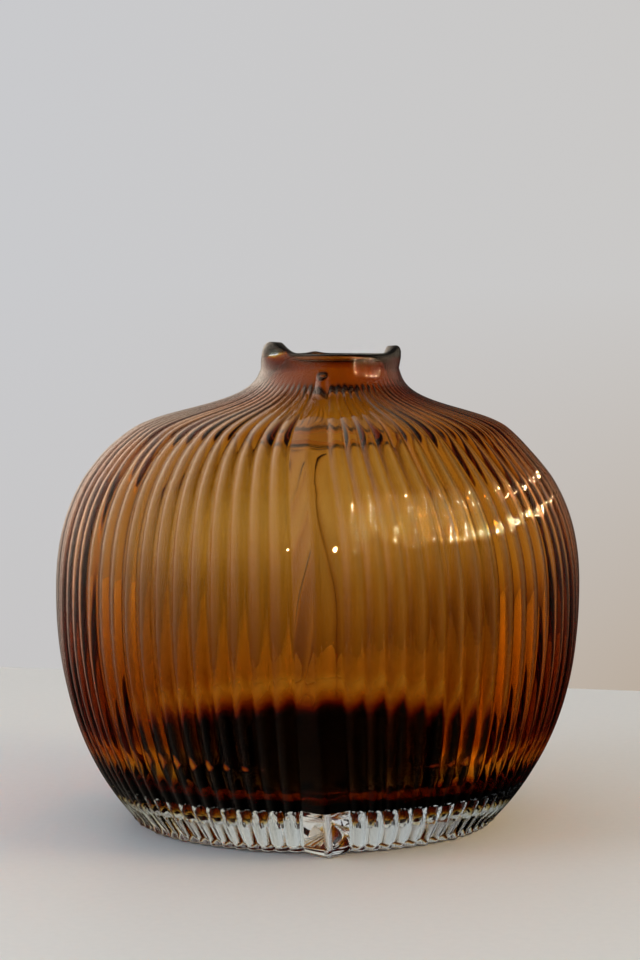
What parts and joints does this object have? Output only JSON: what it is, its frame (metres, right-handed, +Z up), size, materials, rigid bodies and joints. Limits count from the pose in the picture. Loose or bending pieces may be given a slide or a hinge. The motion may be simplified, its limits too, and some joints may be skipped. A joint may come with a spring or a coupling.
{
  "type": "vase",
  "caption": "Round ribbed vase of amber glass cased in clear glass, with a short neck, a heavy clear foot and a keel down the front",
  "frame": {"origin": "middle of the flat underside, where the vase stands on the table", "axes": "+Z up the vase towards its mouth, -Y towards the front, where the keel is, +X to the right seen from the front"},
  "size_m": [0.2, 0.2011, 0.182],
  "materials": {
    "amber_glass": "transparent amber, fire polished",
    "clear_glass": "colourless, mould blown and fire polished",
    "lip_glass": "colourless over dark amber, fire polished"
  },
  "bodies": {
    "root": {"amber_bubble": "amber_glass", "clear_casing": "clear_glass", "clear_foot": "clear_glass", "front_keel": "clear_glass", "lip_wrap": "lip_glass", "left_lip_bit": "lip_glass", "right_lip_bit": "lip_glass"}
  },
  "joints": []
}
